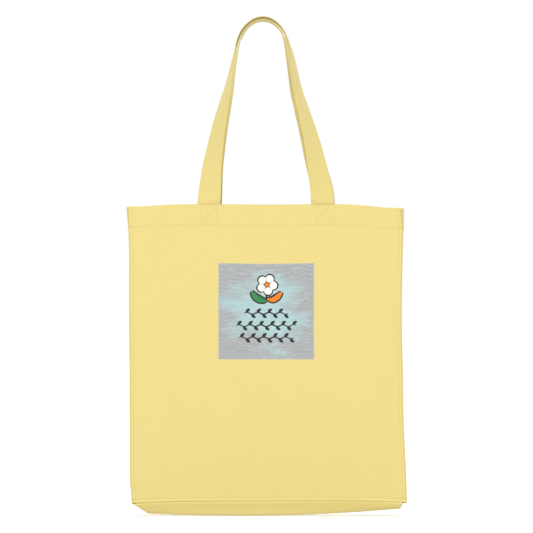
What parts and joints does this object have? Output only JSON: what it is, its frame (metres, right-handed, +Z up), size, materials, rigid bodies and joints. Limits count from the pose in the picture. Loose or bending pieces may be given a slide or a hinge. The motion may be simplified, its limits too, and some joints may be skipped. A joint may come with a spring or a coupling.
{
  "type": "canvas tote bag",
  "caption": "Open-topped gusseted canvas shopping bag with two upright strap handles; the handles swing outward and the bag folds flat.",
  "frame": {"origin": "on the standing surface, under the middle of the bag's base", "axes": "+Z up along the handles, the longest extent; +X to the bag's right as the printed front is looked at, along its width; +Y from the printed front to the back, the shortest extent"},
  "size_m": [0.376, 0.1004, 0.6875],
  "materials": {
    "canvas": "matt pale yellow plain-weave cotton canvas",
    "strap": "matt pale yellow canvas strap, folded and edge-stitched",
    "thread": "pale yellow polyester sewing thread with a slight sheen",
    "binding": "matt pale cotton binding tape",
    "print": "soft-hand grey and pale teal ink on canvas, nearly matt"
  },
  "bodies": {
    "bag_body": {"back_panel": "canvas", "left_gusset": "canvas", "right_gusset": "canvas", "bottom_gusset": "canvas", "back_left_seam_binding": "binding", "back_right_seam_binding": "binding", "back_bottom_seam_binding": "binding", "back_hem_stitching": "thread", "back_left_strap_tail": "strap", "back_right_strap_tail": "strap", "back_left_box_stitch": "thread", "back_right_box_stitch": "thread"},
    "front_side": {"front_panel": "canvas", "front_left_seam_binding": "binding", "front_right_seam_binding": "binding", "front_bottom_seam_binding": "binding", "front_hem_stitching": "thread", "front_left_strap_tail": "strap", "front_right_strap_tail": "strap", "front_left_box_stitch": "thread", "front_right_box_stitch": "thread", "front_print": "print"},
    "front_loop": {"front_handle": "strap"},
    "back_loop": {"back_handle": "strap"}
  },
  "joints": [
    {"name": "fold_flat", "type": "slide", "parent": "bag_body", "child": "front_side", "axis": [0, 1, 0], "range_m": [0, 0.0619], "deforming": ["left_gusset", "right_gusset", "bottom_gusset"]},
    {"name": "front_handle_swing", "type": "hinge", "parent": "front_side", "child": "front_loop", "pos_m": [0, -0.0385, 0.433], "axis": [1, 0, 0], "range_deg": [0, 165]},
    {"name": "back_handle_swing", "type": "hinge", "parent": "bag_body", "child": "back_loop", "pos_m": [0, 0.0385, 0.433], "axis": [-1, 0, 0], "range_deg": [0, 165]}
  ]
}
